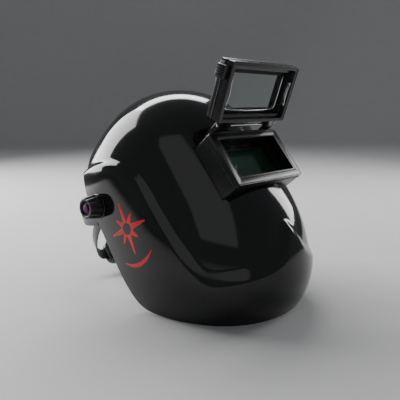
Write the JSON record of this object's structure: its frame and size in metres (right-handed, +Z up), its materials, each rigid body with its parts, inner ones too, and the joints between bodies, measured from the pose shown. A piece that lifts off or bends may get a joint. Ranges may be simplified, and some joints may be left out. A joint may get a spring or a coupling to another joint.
{
  "type": "welding helmet",
  "caption": "Gloss black flip-front welding helmet with a lens housing, hinged lid and ratchet headgear, resting leaned back.",
  "frame": {"origin": "centre of the bounding box on the surface that the helmet rests on", "axes": "+Z up, the front of the helmet faces -Y, the wearer's right is -X; the helmet leans back 39 degrees as it does when it is put down with its lid up"},
  "size_m": [0.2836, 0.3442, 0.3006],
  "materials": {
    "shell_black": "deep gloss",
    "housing_black": "semi-gloss moulded",
    "clear_plate": "clear polycarbonate",
    "filter_glass": "dark green filter",
    "gasket_rubber": "matt",
    "pad_fabric": "brushed knit",
    "steel": "bright",
    "knob_plastic": "satin",
    "band_plastic": "satin"
  },
  "bodies": {
    "shell": {"face_shell": "shell_black", "lens_housing": "housing_black", "outer_cover_plate": "clear_plate", "filter_gasket": "gasket_rubber", "filter_plate": "filter_glass", "filter_spring": "steel", "housing_screw_1": "steel", "housing_screw_2": "steel", "housing_screw_3": "steel", "housing_screw_4": "steel", "hinge_pin": "steel", "stop_lug_left": "shell_black", "stop_lug_right": "shell_black"},
    "lid": {"lid_frame": "housing_black", "lid_cover_plate": "clear_plate", "lid_gasket": "gasket_rubber", "lid_spring": "steel"},
    "headgear": {"head_band": "band_plastic", "brow_pad": "pad_fabric", "occiput_band": "band_plastic", "crown_strap_right": "band_plastic", "crown_strap_left": "band_plastic", "crown_stud": "knob_plastic", "side_arm_left": "band_plastic", "side_arm_right": "band_plastic", "stop_disc_left": "knob_plastic", "stop_disc_right": "knob_plastic", "inner_washer_left": "gasket_rubber", "inner_washer_right": "gasket_rubber", "pivot_bolt_left": "steel", "pivot_bolt_right": "steel", "outer_washer_left": "gasket_rubber", "outer_washer_right": "gasket_rubber", "ratchet_base": "knob_plastic", "ratchet_cover": "knob_plastic", "nape_pad": "pad_fabric"},
    "left_knob": {"tension_knob_left": "knob_plastic", "knob_cap_left": "steel"},
    "right_knob": {"tension_knob_right": "knob_plastic", "knob_cap_right": "steel"},
    "ratchet_dial": {"ratchet_knob": "knob_plastic", "ratchet_pinion": "knob_plastic", "ratchet_screw": "steel"},
    "right_rack": {"band_rack_right": "band_plastic"},
    "left_rack": {"band_rack_left": "band_plastic"}
  },
  "joints": [
    {"name": "lid_hinge", "type": "hinge", "parent": "shell", "child": "lid", "pos_m": [0, -0.09332, 0.22625], "axis": [1, 0, 0], "range_deg": [0, 122]},
    {"name": "headgear_pivot", "type": "hinge", "parent": "shell", "child": "headgear", "pos_m": [0, 0.04666, 0.12369], "axis": [1, 0, 0], "range_deg": [-80, 3]},
    {"name": "left_knob_turn", "type": "hinge", "parent": "headgear", "child": "left_knob", "pos_m": [0.135, 0.04666, 0.12369], "axis": [1, 0, 0], "range_deg": [0, 360]},
    {"name": "right_knob_turn", "type": "hinge", "parent": "headgear", "child": "right_knob", "pos_m": [-0.135, 0.04666, 0.12369], "axis": [-1, 0, 0], "range_deg": [0, 360]},
    {"name": "ratchet_turn", "type": "hinge", "parent": "headgear", "child": "ratchet_dial", "pos_m": [0, 0.12959, 0.02805], "axis": [0, 0.8051, -0.5931], "range_deg": [0, 229]},
    {"name": "right_rack_slide", "type": "slide", "parent": "headgear", "child": "right_rack", "axis": [1, 0, 0], "range_m": [0, 0.02399]},
    {"name": "left_rack_slide", "type": "slide", "parent": "headgear", "child": "left_rack", "axis": [-1, 0, 0], "range_m": [0, 0.02399]}
  ],
  "couplings": [
    {"joint": "right_rack_slide", "follows": "ratchet_turn", "m_per_rad": 0.006},
    {"joint": "left_rack_slide", "follows": "ratchet_turn", "m_per_rad": 0.006}
  ]
}
